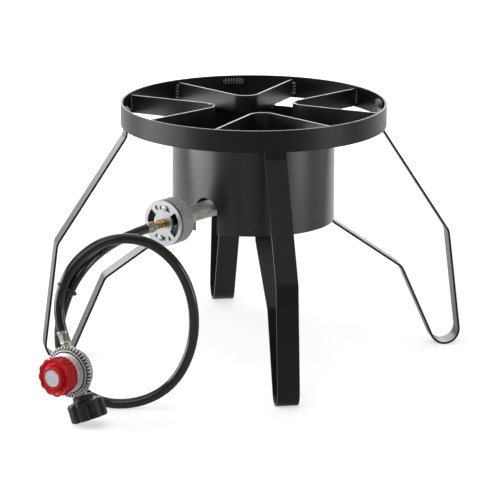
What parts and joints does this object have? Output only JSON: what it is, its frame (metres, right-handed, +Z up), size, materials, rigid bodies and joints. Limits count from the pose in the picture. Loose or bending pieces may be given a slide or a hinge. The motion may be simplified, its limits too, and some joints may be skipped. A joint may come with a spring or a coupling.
{
  "type": "outdoor gas stove",
  "caption": "Outdoor gas stove: welded flat-bar stand with ring and bent pot rests, burner in a round wind guard, air shutter, rubber hose and pressure regulator with red knob.",
  "frame": {"origin": "floor under the middle of the stand, on the ring's axis", "axes": "+Z up; the front leg points to -Y and the burner pipe leaves halfway between -X and -Y"},
  "size_m": [0.6275, 0.6499, 0.353],
  "materials": {
    "black_steel": "satin",
    "cast_iron": "matte",
    "plated_steel": "satin",
    "grey_casting": "matte",
    "brass": "polished",
    "nickel": "polished",
    "rubber": "satin",
    "black_plastic": "satin",
    "zinc_casting": "satin",
    "red_plastic": "gloss",
    "silver_disc": "satin"
  },
  "bodies": {
    "stove": {"top_ring": "black_steel", "pot_rest_front": "black_steel", "pot_rest_right": "black_steel", "pot_rest_rear": "black_steel", "pot_rest_left": "black_steel", "leg_front": "black_steel", "leg_right": "black_steel", "leg_rear": "black_steel", "leg_left": "black_steel", "wind_guard": "black_steel", "rest_welds": "black_steel", "leg_top_welds": "black_steel", "leg_guard_welds": "black_steel", "guard_rim_welds": "black_steel", "burner_bar": "black_steel", "burner_bar_welds": "black_steel", "burner_bowl": "cast_iron", "burner_cap": "cast_iron", "burner_bolt": "plated_steel", "burner_bolt_washer": "plated_steel", "burner_bolt_nut": "plated_steel", "shutter_screws": "plated_steel", "regulator_rim": "plated_steel", "diaphragm_plate": "plated_steel", "pressure_spring": "plated_steel", "valve_lever": "plated_steel", "venturi_pipe": "grey_casting", "mixer_cup": "grey_casting", "gas_orifice": "brass", "orifice_lock_nut": "brass", "burner_fitting": "brass", "outlet_fitting": "brass", "inlet_nipple": "brass", "burner_ferrule": "nickel", "regulator_ferrule": "nickel", "gas_hose": "rubber", "diaphragm": "rubber", "inlet_seal": "rubber", "valve_seat_piece": "rubber", "hose_tie": "black_plastic", "regulator_body": "zinc_casting", "regulator_bonnet": "zinc_casting"},
    "shutter": {"air_shutter": "plated_steel"},
    "adjuster": {"spring_button": "plated_steel"},
    "knob": {"regulator_knob": "red_plastic", "adjusting_screw": "plated_steel", "knob_disc": "silver_disc"},
    "swivel_nut": {"cylinder_nut": "black_plastic"}
  },
  "joints": [
    {"name": "air_shutter_turn", "type": "hinge", "parent": "stove", "child": "shutter", "pos_m": [0, 0, 0.223], "axis": [-0.7071, -0.7071, 0], "range_deg": [-18, 18]},
    {"name": "adjuster_travel", "type": "slide", "parent": "stove", "child": "adjuster", "axis": [0.6775, 0.7355, 0], "range_m": [0, 0.0038], "deforming": ["pressure_spring"]},
    {"name": "knob_turn", "type": "hinge", "parent": "adjuster", "child": "knob", "pos_m": [-0.29309, -0.31508, 0.0716], "axis": [0.6775, 0.7355, 0], "range_deg": [0, 1080]},
    {"name": "cylinder_nut_turn", "type": "hinge", "parent": "stove", "child": "swivel_nut", "pos_m": [-0.28564, -0.30699, 0.0716], "axis": [-0.2696, 0.2483, 0.9304], "continuous": true}
  ],
  "couplings": [
    {"joint": "adjuster_travel", "follows": "knob_turn", "m_per_rad": 0.00019894}
  ]
}
